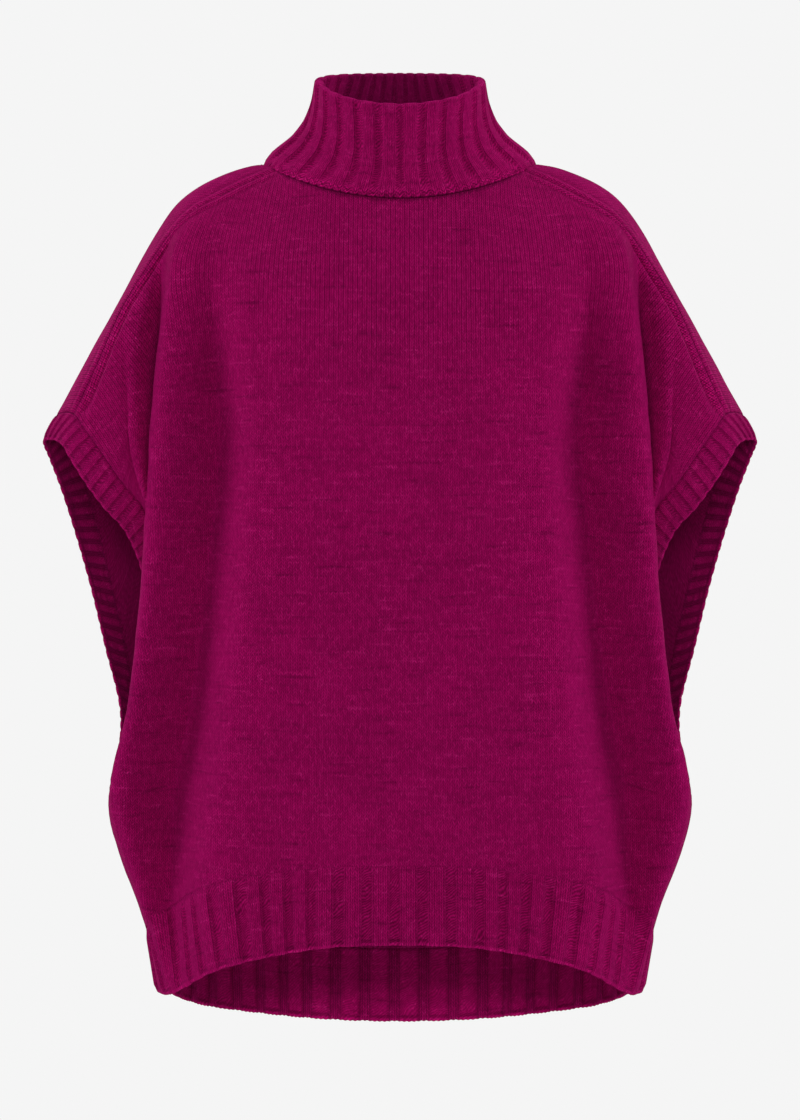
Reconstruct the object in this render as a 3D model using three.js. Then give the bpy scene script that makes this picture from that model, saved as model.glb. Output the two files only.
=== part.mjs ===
// A turtleneck sweater vest: a boxy, hollow knitted body with a tall folded collar, ribbed armholes and a
// step hem, in the form it takes when it is worn.
//
// Millimetres. +X is the left hand side of the garment as it is worn, +Y runs from the chest to the back,
// +Z is up. The origin is the middle of the neck opening, level with the two side neck points.
import * as THREE from "three";
import { mergeVertices } from "three/addons/utils/BufferGeometryUtils.js";

// ---- driving dimensions -------------------------------------------------------------------------------

const JERSEY_WALL = 2.4;
const RIB_WALL = 3.0;
const COLLAR_WALL = 8.0;
// Pieces stop short of each other at seams; a panel and the rib on it each give way by their own share.
const SEAM_GAP = 0.3;
const RIB_GAP = 0.45;

const NECK = {
  halfWidth: 129,
  frontReach: 86,
  backReach: 70,
  frontDrop: 39,
  backRise: 10,
  frontDropPower: 1.72,
  // where the shoulder seam meets the neck, in degrees round from the centre front
  seamAngle: 63.6,
};

const COLLAR = {
  rimHalfWidth: 76,
  rimFrontReach: 71,
  rimBackReach: 43,
  rimFrontHeight: 47,
  rimBackHeight: 88,
  rimSideRise: 5,
  lift: 1.55,
  turns: 40,
  tiers: 5,
};

// How far the collar still stands out from its rim outline, as a share of the flare, by height.
const COLLAR_FLARE = [
  // height share, flare share
  [0.0, 1.0],
  [0.14, 0.72],
  [0.3, 0.44],
  [0.5, 0.22],
  [0.75, 0.07],
  [1.0, 0.0],
];

// The forward shoulder seam, from the neck to the armhole rib.
const SHOULDER_SEAM = [
  // x, y, z
  [140, -41, -20],
  [165, -42, -32.5],
  [194, -43, -48.4],
  [214, -44, -69],
  [234, -45, -98],
  [256, -45.5, -134],
  [280, -45, -187],
  [302, -42, -235],
];

// Each panel is a net of guide wales. A guide is the path of one wale, with a point on every level:
//   0 the far side of the seam (it only bends the wale over the shoulder), 1 the neck edge or shoulder seam,
//   2 to 8 down the body, 9 the underarm, 10 the hem rib.
const UNDERARM_LEVEL = 9;
const HEM_LEVEL = 10;

// Front: a flat middle, an inner ridge that falls from the neck, a deep trough beside it, an outer ridge that
// falls from the shoulder point to the underarm, and the sleeve part that turns back behind that ridge.
const FRONT_GUIDES = [
  {
    name: "centre",
    path: [
      [0, -66, 0], [0, -86, -39], [0, -103, -82], [0, -120, -131], [0, -134, -188], [0, -144, -259],
      [0, -149, -332], [0, -151, -406], [0, -151, -498], [0, -151, -588], [0, -150, -647],
    ],
  },
  {
    name: "chest",
    path: [
      [58, -52, 6], [60, -76, -31.6], [61, -98, -78], [63, -117, -129], [65, -132, -187], [67, -142.5, -258.5],
      [70, -148, -332], [72, -150, -406], [74, -150, -498], [78, -150, -589], [80, -149, -649],
    ],
  },
  {
    name: "inner_ridge",
    path: [
      [110, 0, 4], [115.6, -38.2, -9.7], [128, -76, -62], [134, -110, -130], [130, -125, -187],
      [128, -136.5, -259], [136, -140, -331], [142, -141, -406], [152, -140.5, -497], [165, -137, -588],
      [175, -126.5, -666],
    ],
  },
  {
    name: "trough",
    path: [
      [172, 0, -13], [165, -42, -32.5], [170, -68, -74], [171, -85, -131], [170, -89, -187], [168, -92, -260],
      [174, -91, -333], [180, -91, -407], [189, -81, -498], [203, -69, -589], [209, -69, -690],
    ],
  },
  {
    name: "outer_ridge",
    path: [
      [203, 0, -29], [194, -43, -48.4], [206, -68, -83], [211, -89, -131], [218, -99, -186], [227, -102, -260],
      [232, -101, -333], [238, -97, -407], [248, -90, -499], [258, -74, -592], [225, -62, -700],
    ],
  },
  {
    name: "valley",
    path: [
      [224, 0, -57], [214, -44, -69], [219, -57, -93], [224, -69, -132], [229, -74, -184], [235, -71, -254],
      [228, -62, -328], [222, -54, -405], [237, -49, -498], [268, -44, -593], [231, -42, -706],
    ],
  },
  {
    name: "sleeve",
    path: [
      [268, 0, -134], [256, -45.5, -134], [254, -61, -155], [252, -71, -183], [250, -77, -221],
      [247, -76, -271], [233, -65, -318], [218, -46, -402], [231, -36, -499], [271, -19, -594], [234, -20, -711],
    ],
  },
  {
    name: "armhole",
    path: [
      [322, 0, -236], [302, -42, -235], [294, -52, -245], [285, -58, -257], [271.5, -65, -276],
      [255, -67, -300], [236, -60, -324], [216, -38, -400], [226, -26, -500], [272, 0, -595], [234, 0, -714],
    ],
  },
];

// Back: the same wales brought over the top of the shoulder, then hanging with softer folds.
const BACK_GUIDES = [
  {
    name: "centre",
    path: [
      [0, 56, 45], [0, 70, 10], [0, 86, -30], [0, 102, -85], [0, 114, -150], [0, 122, -230], [0, 127, -320],
      [0, 131, -420], [0, 135, -520], [0, 139, -630], [0, 143, -747],
    ],
  },
  {
    name: "blade",
    path: [
      [60, 48, 44], [62, 61.4, 8], [63, 80, -30], [64, 98, -84], [66, 111, -149], [68, 119, -229],
      [70, 125, -319], [73, 129, -419], [77, 133, -519], [80, 137, -630], [82, 141, -744],
    ],
  },
  {
    name: "neck_corner",
    path: [
      [108, 12, 30], [111.7, 35, 3.5], [117, 59, -21], [121, 84, -80], [125, 101, -148], [128, 111, -228],
      [132, 119, -318], [137, 125, -418], [143, 129, -519], [150, 132, -629], [152, 132, -738],
    ],
  },
  {
    name: "side_neck",
    path: [
      [119, -28, 8], [129, 0, 0], [140, 27, -7], [144, 64, -47], [150, 92, -120], [150, 108, -204],
      [149, 119, -301], [152, 126, -406], [158, 130, -512], [166, 131, -625], [171, 127, -735],
    ],
  },
  {
    name: "shoulder",
    path: [
      [126, -72, -50], [115.6, -38.2, -9.7], [147, 0, -4.5], [160, 45, -34], [166, 80, -98], [165, 104, -185],
      [165, 117, -285], [168, 124, -395], [173, 128, -505], [181, 128, -620], [188, 118, -730],
    ],
  },
  {
    name: "back_trough",
    path: [
      [206, -68, -83], [194, -43, -48.4], [205, 0, -31], [208, 42, -60], [207, 70, -121], [205, 82, -201],
      [206, 88, -292], [209, 92, -392], [213, 94, -500], [216, 94, -610], [207, 92, -722],
    ],
  },
  {
    name: "sleeve",
    path: [
      [254, -61, -155], [256, -45.5, -134], [268, 0, -134], [266, 40, -158], [259, 66, -204], [252, 78, -267],
      [246, 86, -340], [241, 89, -424], [240, 84, -513], [252, 60, -606], [224, 52, -714],
    ],
  },
  {
    name: "armhole",
    path: [
      [294, -52, -245], [302, -42, -235], [322, 0, -236], [315, 36, -258], [301, 58, -297], [288, 65, -345],
      [275, 67, -400], [262, 66, -460], [254, 52, -522], [272, 0, -595], [234, 0, -714],
    ],
  },
];

// The free edge of the armhole rib, level by level down to the underarm.
const ARMHOLE_EDGE = {
  front: [
    [322, -20, -257], [313, -36, -263], [305, -42, -276], [291, -46, -298], [274, -46, -321], [254, -42, -344],
    [236, -20, -402], [245, -10, -498], [267, 0, -572],
  ],
  back: [
    [322, -20, -257], [334, 2, -258], [330, 25, -274], [320, 39, -303], [307, 45, -345], [293, 48, -395],
    [279, 48, -453], [264, 34, -513], [267, 0, -572],
  ],
};

// The bottom edges, guide by guide from the centre out to the side seam.
const HEM_EDGE = {
  front: [
    [0, -148, -717], [80, -147, -721], [164, -125, -741], [202, -74, -764], [214, -55, -771], [221, -37, -772],
    [226, -18, -772], [227, 0, -772],
  ],
  back: [
    [0, 145, -817], [82, 143, -814], [150, 133, -806], [168, 128, -803], [184, 119, -798], [205, 92, -789],
    [219, 48, -779], [227, 0, -772],
  ],
};

// How finely the faceted net follows its guides.
const SEAM_STEPS = 2;
const LEVEL_STEPS = 2;
const FRONT_STEPS = [3, 3, 2 * SEAM_STEPS, SEAM_STEPS, SEAM_STEPS, 2 * SEAM_STEPS, 2 * SEAM_STEPS];
const BACK_STEPS = [2, 2, 2, 2, 3 * SEAM_STEPS, 3 * SEAM_STEPS, 2 * SEAM_STEPS];
const HEM_TIERS = 1;
const BAND_TIERS = 2;

const YARN = { color: 0x7c0944, roughness: 0.92, metalness: 0 };

// ---- curves -------------------------------------------------------------------------------------------

const vec = (row) => new THREE.Vector3(row[0], row[1], row[2]);

const mirrored = (point) => new THREE.Vector3(-point.x, point.y, point.z);

// A point of the centripetal Catmull-Rom curve between b and c.
function between(a, b, c, d, share) {
  const knot = (p, q) => Math.max(1e-3, Math.sqrt(p.distanceTo(q)));
  const tb = knot(a, b);
  const tc = tb + knot(b, c);
  const td = tc + knot(c, d);
  const t = tb + share * (tc - tb);
  const mix = (p, q, t0, t1) => p.clone().lerp(q, (t - t0) / (t1 - t0));
  const ab = mix(a, b, 0, tb);
  const bc = mix(b, c, tb, tc);
  const cd = mix(c, d, tc, td);
  return mix(mix(ab, bc, 0, tc), mix(bc, cd, tb, td), tb, tc);
}

// A point on the curve through a list, at a place counted in points; its ends run straight on.
function along(points, place) {
  const last = points.length - 1;
  const index = Math.min(last - 1, Math.max(0, Math.floor(place)));
  const start = points[index];
  const end = points[index + 1];
  const before = index > 0 ? points[index - 1] : start.clone().multiplyScalar(2).sub(end);
  const after = index < last - 1 ? points[index + 2] : end.clone().multiplyScalar(2).sub(start);
  return between(before, start, end, after, place - index);
}

// The value of a two-column table at a key, in straight lines between its rows.
function tableValue(rows, key) {
  const next = rows.findIndex((row) => row[0] >= key);
  if (next <= 0) return rows[0][1];
  const [lowKey, low] = rows[next - 1];
  const [highKey, high] = rows[next];
  return low + ((key - lowKey) / (highKey - lowKey)) * (high - low);
}

// The neck seam, by the angle round from the centre front.
function neckPoint(degrees) {
  const angle = THREE.MathUtils.degToRad(degrees);
  const lean = Math.cos(angle);
  const forward = lean > 0;
  const reach = forward ? NECK.frontReach : NECK.backReach;
  const rise = forward
    ? -NECK.frontDrop * Math.pow(lean, NECK.frontDropPower)
    : NECK.backRise * Math.pow(-lean, NECK.frontDropPower);
  return new THREE.Vector3(NECK.halfWidth * Math.sin(angle), -reach * lean, rise);
}

const seamLine = [neckPoint(NECK.seamAngle), ...SHOULDER_SEAM.map(vec)];

// ---- nets ---------------------------------------------------------------------------------------------

// The places across half a panel, as guide number plus a share, from the centre to its edge.
function placesAcross(steps) {
  const places = [0];
  steps.forEach((count, guide) => {
    for (let step = 1; step <= count; step += 1) places.push(guide + step / count);
  });
  return places;
}

// One level of a panel: the guide points there, both sides of the centre, and a point past each edge.
function levelPoints(guides, beyond, level) {
  const half = guides.map((guide) => along(guide, level));
  const past = along(beyond, level);
  const right = [...half, past];
  const left = right.slice(1).reverse().map(mirrored);
  return [...left, ...right];
}

// The net of a panel, from its seam down to the hem rib: rows of points from the left edge to the right.
function panelNet(panel) {
  const guides = panel.guides.map((guide) => guide.path.map(vec));
  const beyond = panel.beyond.map(vec);
  const centre = guides.length;
  const half = placesAcross(panel.steps);
  const rows = [];
  for (let step = 0; step <= (HEM_LEVEL - 1) * LEVEL_STEPS; step += 1) {
    const points = levelPoints(guides, beyond, 1 + step / LEVEL_STEPS);
    const right = half.map((place) => (step === 0 ? panel.topEdge(place) : along(points, centre + place)));
    right[0].x = 0;
    rows.push([...right.slice(1).reverse().map(mirrored), ...right]);
  }
  return rows;
}

// The top edge of the front: the neck as far as the shoulder seam, then that seam.
function frontTop(place) {
  const neckGuides = [[0, 0], [1, 27.7], [2, NECK.seamAngle]];
  const seamGuides = [[2, 0], [3, 2], [4, 3], [5, 4], [6, 6], [7, 8]];
  if (place <= 2) return neckPoint(tableValue(neckGuides, place));
  return along(seamLine, tableValue(seamGuides, place));
}

// The top edge of the back, in the same way; it rounds the side of the neck first.
function backTop(place) {
  const neckGuides = [[0, 180], [1, 151.3], [2, 120], [3, 90], [4, NECK.seamAngle]];
  const seamGuides = [[4, 0], [5, 3], [6, 6], [7, 8]];
  if (place <= 4) return neckPoint(tableValue(neckGuides, place));
  return along(seamLine, tableValue(seamGuides, place));
}

// Past each edge lies the armhole rib, and under the arm the other panel.
const behind = (guides, level) => {
  const [x, y, z] = guides[guides.length - 2].path[level];
  return [x, -y, z];
};

const front = panelNet({
  guides: FRONT_GUIDES,
  steps: FRONT_STEPS,
  topEdge: frontTop,
  beyond: [
    [334, 4, -258],
    ...ARMHOLE_EDGE.front.slice(0, 8),
    behind(FRONT_GUIDES, UNDERARM_LEVEL),
    behind(FRONT_GUIDES, HEM_LEVEL),
  ],
});

const back = panelNet({
  guides: BACK_GUIDES,
  steps: BACK_STEPS,
  topEdge: backTop,
  beyond: [
    [313, -36, -263],
    ...ARMHOLE_EDGE.back.slice(0, 8),
    behind(BACK_GUIDES, UNDERARM_LEVEL),
    behind(BACK_GUIDES, HEM_LEVEL),
  ],
});

// ---- walls --------------------------------------------------------------------------------------------

// The outward direction at each point of a net whose rows run left to right and downwards (front) or the
// other way about (back, with flip).
function netNormals(net, { flip = false, loop = false } = {}) {
  const rows = net.length;
  const columns = net[0].length;
  const at = (i, j) => net[i][loop ? (j + columns) % columns : Math.min(columns - 1, Math.max(0, j))];
  return net.map((row, i) =>
    row.map((_, j) => {
      const across = at(i, j + 1).clone().sub(at(i, j - 1));
      const down = net[Math.min(rows - 1, i + 1)][j].clone().sub(net[Math.max(0, i - 1)][j]);
      const normal = down.cross(across).normalize();
      return flip ? normal.negate() : normal;
    }),
  );
}

// A closed wall of even thickness on a net. loop joins the last column to the first.
function wall(net, normals, thickness, { flip = false, loop = false } = {}) {
  const rows = net.length;
  const columns = net[0].length;
  const positions = [];
  const triangles = [];
  for (const side of [0.5, -0.5]) {
    net.forEach((row, i) =>
      row.forEach((point, j) => {
        const moved = point.clone().addScaledVector(normals[i][j], side * thickness);
        positions.push(moved.x, moved.y, moved.z);
      }),
    );
  }
  const outer = (i, j) => i * columns + (j % columns);
  const inner = (i, j) => rows * columns + outer(i, j);
  // A quad is cut along its a-c diagonal, or along b-d when turned, so that the two halves mirror each other.
  const quad = (a, b, c, d, turned = false) => {
    const corners = flip ? [a, d, c, b] : [a, b, c, d];
    if (turned) corners.push(corners.shift());
    triangles.push(corners[0], corners[1], corners[2], corners[0], corners[2], corners[3]);
  };
  const spans = loop ? columns : columns - 1;
  for (let j = 0; j < spans; j += 1) {
    const turned = !loop && j < spans / 2;
    for (let i = 0; i < rows - 1; i += 1) {
      quad(outer(i, j), outer(i + 1, j), outer(i + 1, j + 1), outer(i, j + 1), turned);
      quad(inner(i, j), inner(i, j + 1), inner(i + 1, j + 1), inner(i + 1, j), turned);
    }
    quad(inner(0, j), outer(0, j), outer(0, j + 1), inner(0, j + 1));
    quad(outer(rows - 1, j), inner(rows - 1, j), inner(rows - 1, j + 1), outer(rows - 1, j + 1));
  }
  for (let i = 0; !loop && i < rows - 1; i += 1) {
    quad(outer(i, 0), inner(i, 0), inner(i + 1, 0), outer(i + 1, 0));
    const last = columns - 1;
    quad(inner(i, last), outer(i, last), outer(i + 1, last), inner(i + 1, last), true);
  }
  const geometry = new THREE.BufferGeometry();
  geometry.setAttribute("position", new THREE.Float32BufferAttribute(positions, 3));
  geometry.setIndex(triangles);
  return mergeVertices(geometry, 1e-4);
}

const group = new THREE.Group();

function addPiece(name, geometry) {
  const mesh = new THREE.Mesh(geometry, new THREE.MeshStandardMaterial(YARN));
  mesh.name = name;
  group.add(mesh);
}

// ---- seams --------------------------------------------------------------------------------------------

const underarmRow = (UNDERARM_LEVEL - 1) * LEVEL_STEPS;
const hemRow = (HEM_LEVEL - 1) * LEVEL_STEPS;
const frontMiddle = (front[0].length - 1) / 2;
const backMiddle = (back[0].length - 1) / 2;

// Both panels end on one side seam, half way between the two nets.
for (let i = underarmRow; i <= hemRow; i += 1) {
  for (const side of [1, -1]) {
    const mine = front[i][frontMiddle + side * frontMiddle];
    const other = back[i][backMiddle + side * backMiddle];
    mine.lerp(other, 0.5).setY(0);
    other.copy(mine);
  }
}

const frontNormals = netNormals(front);
const backNormals = netNormals(back, { flip: true });

// Draws a point back from a seam by half the gap, towards a neighbour in its own net.
function drawBack(net, i, j, towardsI, towardsJ, distance = SEAM_GAP / 2) {
  const away = net[towardsI][towardsJ].clone().sub(net[i][j]).normalize();
  net[i][j].addScaledVector(away, distance);
}

// Gives two panels one shared outward direction at a seam point, so that their rims lie face to face.
function shareNormal(a, b) {
  a.add(b).normalize();
  b.copy(a);
}

const seamCount = 8 * SEAM_STEPS;
for (let k = 0; k <= seamCount; k += 1) {
  for (const side of [1, -1]) {
    const frontColumn = frontMiddle + side * (frontMiddle - seamCount + k);
    const backColumn = backMiddle + side * (backMiddle - seamCount + k);
    shareNormal(frontNormals[0][frontColumn], backNormals[0][backColumn]);
  }
}
for (let i = underarmRow; i <= hemRow; i += 1) {
  for (const side of [1, -1]) {
    const frontNormal = frontNormals[i][frontMiddle + side * frontMiddle];
    shareNormal(frontNormal.setY(0), backNormals[i][backMiddle + side * backMiddle].setY(0));
  }
}

const armholeSeams = [1, -1].map((side) => {
  const frontColumn = frontMiddle + side * frontMiddle;
  const backColumn = backMiddle + side * backMiddle;
  const points = [];
  const normals = [];
  for (let i = 0; i <= underarmRow; i += 1) {
    points.push(front[i][frontColumn].clone());
    normals.push(frontNormals[i][frontColumn].clone());
  }
  for (let i = underarmRow - 1; i > 0; i -= 1) {
    points.push(back[i][backColumn].clone());
    normals.push(backNormals[i][backColumn].clone());
  }
  return { side, points, normals };
});
const hemSeams = {
  front: { points: front[hemRow].map((p) => p.clone()), normals: frontNormals[hemRow] },
  back: { points: back[hemRow].map((p) => p.clone()), normals: backNormals[hemRow] },
};

for (const net of [front, back]) {
  const columns = net[0].length;
  for (let i = 0; i <= hemRow; i += 1) {
    drawBack(net, i, 0, i, 1);
    drawBack(net, i, columns - 1, i, columns - 2);
  }
  for (let j = 0; j < columns; j += 1) {
    drawBack(net, 0, j, 1, j);
    drawBack(net, hemRow, j, hemRow - 1, j);
  }
}

// ---- the pieces ---------------------------------------------------------------------------------------

addPiece("front_panel", wall(front, frontNormals, JERSEY_WALL));
addPiece("back_panel", wall(back, backNormals, JERSEY_WALL, { flip: true }));

// A hem rib hangs from its panel's lowest row to its own bottom edge.
function hemRib(seam, edge, steps, flip) {
  const centre = edge.length - 1;
  const right = edge.map(vec);
  const line = [...right.slice(1).reverse().map(mirrored), ...right];
  const half = placesAcross(steps);
  const places = [...half.slice(1).reverse().map((place) => -place), ...half];
  const net = [];
  for (let tier = 0; tier <= HEM_TIERS; tier += 1) {
    const share = tier / HEM_TIERS;
    net.push(places.map((place, j) => seam.points[j].clone().lerp(along(line, centre + place), share)));
  }
  const normals = netNormals(net, { flip });
  normals[0] = seam.normals;
  const columns = places.length;
  for (let j = 0; j < columns; j += 1) drawBack(net, 0, j, 1, j, RIB_GAP);
  for (let i = 0; i <= HEM_TIERS; i += 1) {
    normals[i][0].setY(0).normalize();
    normals[i][columns - 1].setY(0).normalize();
    drawBack(net, i, 0, i, 1);
    drawBack(net, i, columns - 1, i, columns - 2);
  }
  return wall(net, normals, RIB_WALL, { flip });
}

addPiece("front_hem_rib", hemRib(hemSeams.front, HEM_EDGE.front, FRONT_STEPS, false));
addPiece("back_hem_rib", hemRib(hemSeams.back, HEM_EDGE.back, BACK_STEPS, true));

// An armhole rib is one loop from the armhole seam in to its free edge.
function armholeRib({ side, points, normals }) {
  const frontEdge = ARMHOLE_EDGE.front.map(vec);
  const backEdge = ARMHOLE_EDGE.back.map(vec);
  const edge = [];
  for (let i = 0; i <= underarmRow; i += 1) edge.push(along(frontEdge, i / LEVEL_STEPS));
  for (let i = underarmRow - 1; i > 0; i -= 1) edge.push(along(backEdge, i / LEVEL_STEPS));
  edge.forEach((point) => point.setX(point.x * side));
  const net = [];
  for (let tier = 0; tier <= BAND_TIERS; tier += 1) {
    net.push(points.map((point, j) => point.clone().lerp(edge[j], tier / BAND_TIERS)));
  }
  const flip = side > 0;
  const own = netNormals(net, { flip, loop: true });
  own[0] = normals;
  points.forEach((_, j) => drawBack(net, 0, j, 1, j, RIB_GAP));
  return wall(net, own, RIB_WALL, { flip, loop: true });
}

for (const seam of armholeSeams) {
  addPiece(seam.side > 0 ? "left_armhole_rib" : "right_armhole_rib", armholeRib(seam));
}

// The collar: a funnel on the neck seam, folded over at its rim, so its wall is two layers of rib.
function collarMiddle(degrees, share) {
  const angle = THREE.MathUtils.degToRad(degrees);
  const lean = Math.cos(angle);
  const foot = neckPoint(degrees);
  const reach = lean > 0 ? COLLAR.rimFrontReach : COLLAR.rimBackReach;
  const rim = new THREE.Vector3(COLLAR.rimHalfWidth * Math.sin(angle), -reach * lean, 0);
  const slope = (COLLAR.rimBackHeight - COLLAR.rimFrontHeight) / (COLLAR.rimFrontReach + COLLAR.rimBackReach);
  const rise = COLLAR.rimSideRise * Math.sin(angle) ** 2;
  rim.z = COLLAR.rimFrontHeight + slope * (rim.y + COLLAR.rimFrontReach) + rise;
  const flare = tableValue(COLLAR_FLARE, share);
  const low = foot.z + COLLAR.lift;
  const point = rim.clone().lerp(foot, flare);
  point.z = low + share * (rim.z - low);
  return point;
}

// The rings of the collar's solid: up its outside, over the rim and down its inside.
function collar() {
  const half = COLLAR.tiers;
  // height share, share of the wall outwards from its middle
  const ring = [];
  for (let tier = 0; tier <= half; tier += 1) ring.push([tier / half, 0.5]);
  ring.push([1.0, 0.0]);
  for (let tier = half; tier >= 0; tier -= 1) ring.push([tier / half, -0.5]);
  return ring.map(([share, offset]) => {
    const row = [];
    for (let turn = 0; turn < COLLAR.turns; turn += 1) {
      const point = collarMiddle((turn * 360) / COLLAR.turns, share);
      const outward = point.clone().setZ(0).normalize();
      point.addScaledVector(outward, offset * COLLAR_WALL);
      if (offset === 0) point.z += COLLAR_WALL / 2;
      row.push(point);
    }
    return row;
  });
}

// A closed solid from a tube of rings whose last ring joins its first.
function ringSolid(net) {
  const rows = net.length;
  const columns = net[0].length;
  const positions = net.flat().flatMap((point) => [point.x, point.y, point.z]);
  const triangles = [];
  for (let i = 0; i < rows; i += 1) {
    for (let j = 0; j < columns; j += 1) {
      const a = i * columns + j;
      const b = i * columns + ((j + 1) % columns);
      const c = ((i + 1) % rows) * columns + ((j + 1) % columns);
      const d = ((i + 1) % rows) * columns + j;
      triangles.push(a, b, c, a, c, d);
    }
  }
  const geometry = new THREE.BufferGeometry();
  geometry.setAttribute("position", new THREE.Float32BufferAttribute(positions, 3));
  geometry.setIndex(triangles);
  return geometry;
}

addPiece("collar", ringSolid(collar()));

export default group;
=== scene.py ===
"""A magenta knitted turtleneck vest, hollow as it is when worn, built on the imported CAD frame."""

import math

import bpy
import numpy as np
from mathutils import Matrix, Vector


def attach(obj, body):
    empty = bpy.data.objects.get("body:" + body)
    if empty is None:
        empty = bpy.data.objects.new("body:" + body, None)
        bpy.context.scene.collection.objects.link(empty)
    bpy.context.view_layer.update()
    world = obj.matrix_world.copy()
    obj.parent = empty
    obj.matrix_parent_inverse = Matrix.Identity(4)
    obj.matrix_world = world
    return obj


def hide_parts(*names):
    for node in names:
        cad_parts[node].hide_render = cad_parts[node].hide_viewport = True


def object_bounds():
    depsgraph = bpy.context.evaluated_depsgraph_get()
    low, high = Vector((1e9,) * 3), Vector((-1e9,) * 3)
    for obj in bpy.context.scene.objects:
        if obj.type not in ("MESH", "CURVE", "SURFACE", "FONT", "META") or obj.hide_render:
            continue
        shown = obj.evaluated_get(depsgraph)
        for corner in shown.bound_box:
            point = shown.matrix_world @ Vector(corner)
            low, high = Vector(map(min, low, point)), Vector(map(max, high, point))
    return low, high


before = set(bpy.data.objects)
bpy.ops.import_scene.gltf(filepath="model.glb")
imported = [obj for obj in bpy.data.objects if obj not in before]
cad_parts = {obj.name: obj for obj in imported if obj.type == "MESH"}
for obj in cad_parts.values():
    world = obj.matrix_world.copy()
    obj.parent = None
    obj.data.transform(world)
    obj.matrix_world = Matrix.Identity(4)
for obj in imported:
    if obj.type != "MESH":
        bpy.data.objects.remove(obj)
cad_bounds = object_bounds()

# ---- sizes: the garment's tables are in millimetres, as in its pattern; meshes are made in metres ----

MM = 0.001
JERSEY_WALL = 2.4
RIB_WALL = 2.6
COLLAR_WALL = 7.0

# Knit gauge: one wale across, one course down.
WALE = 4.3
COURSE = 2.85
BAND_WALE = 3.0

NECK = {
    "half_width": 129, "front_reach": 86, "back_reach": 70, "front_drop": 39, "back_rise": 10,
    "drop_power": 1.72, "seam_angle": 63.6,
}
COLLAR = {
    "rim_half_width": 75.5, "rim_front_reach": 71, "rim_back_reach": 43, "rim_front_height": 47,
    "rim_back_height": 88, "rim_side_rise": 5, "lift": 1.55, "repeats": 27, "rib_turn": 19.0,
    "columns_per_repeat": 32, "rows": 30, "rim_steps": 12, "relief": 1.5, "side_relief": 0.4,
}
COLLAR_FLARE = [  # height share, flare share
    (0.0, 1.0), (0.14, 0.71), (0.3, 0.42), (0.5, 0.2), (0.75, 0.06), (1.0, 0.0),
]
SHOULDER_SEAM = [
    (140, -41, -20), (165, -42, -32.5), (194, -43, -48.4), (214, -44, -69), (234, -45, -98),
    (256, -45.5, -134), (280, -45, -187), (302, -42, -235),
]
UNDERARM_LEVEL = 9
HEM_LEVEL = 10
# Guide lines from the top of a panel down to its hem, as x, y, z. The first point of each lies past the top
# edge, and only bends the line.
FRONT_GUIDES = {
    "centre": [
        (0, -66, 0), (0, -86, -39), (0, -103, -82), (0, -120, -131), (0, -134, -188), (0, -144, -259),
        (0, -149, -332), (0, -151, -406), (0, -151, -498), (0, -151, -588), (0, -150, -647),
    ],
    "chest": [
        (58, -52, 6), (60, -76, -31.6), (61, -98, -78), (63, -117, -129), (65, -132, -187),
        (67, -142.5, -258.5), (70, -148, -332), (72, -150, -406), (74, -150, -498), (78, -150, -589),
        (80, -149, -649),
    ],
    "inner_ridge": [
        (110, 0, 4), (115.6, -38.2, -9.7), (127, -76, -62), (131, -111, -130), (124, -124, -187),
        (120, -134, -259), (127, -138, -331), (133, -140, -406), (143, -140, -497), (155, -137, -588),
        (174, -128, -666),
    ],
    "trough": [
        (172, 0, -13), (165, -42, -32.5), (170, -70, -74), (173, -89, -131), (169, -91, -187),
        (165, -89, -260), (171, -88, -333), (179, -84, -407), (192, -71, -498), (209, -57, -589),
        (211, -60, -690),
    ],
    "outer_ridge": [
        (203, 0, -29), (194, -43, -48.4), (205, -70, -83), (211, -92, -131), (217, -102, -186),
        (224, -106, -260), (230, -104, -333), (236, -101, -407), (246, -94, -499), (262, -76, -592),
        (233, -60, -700),
    ],
    "valley": [
        (224, 0, -57), (214, -44, -69), (219, -54, -93), (221, -57, -132), (225, -58, -184),
        (230, -62, -254), (228, -60, -328), (223, -54, -405), (238, -50, -498), (268, -46, -593),
        (232, -44, -708),
    ],
    "sleeve": [
        (268, 0, -134), (256, -45.5, -134), (255, -62, -153), (253, -69, -183), (251, -71, -221),
        (248, -70, -271), (234, -64, -318), (218, -46, -402), (231, -36, -499), (271, -20, -594),
        (235.5, -20, -713),
    ],
    "armhole": [
        (322, 0, -236), (302, -42, -235), (294, -55, -245), (285, -60, -257), (271.5, -64, -276),
        (255, -65, -300), (236, -58, -324), (216, -38, -400), (226, -26, -500), (272, 0, -595),
        (236.5, 0, -716),
    ],
}
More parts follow.
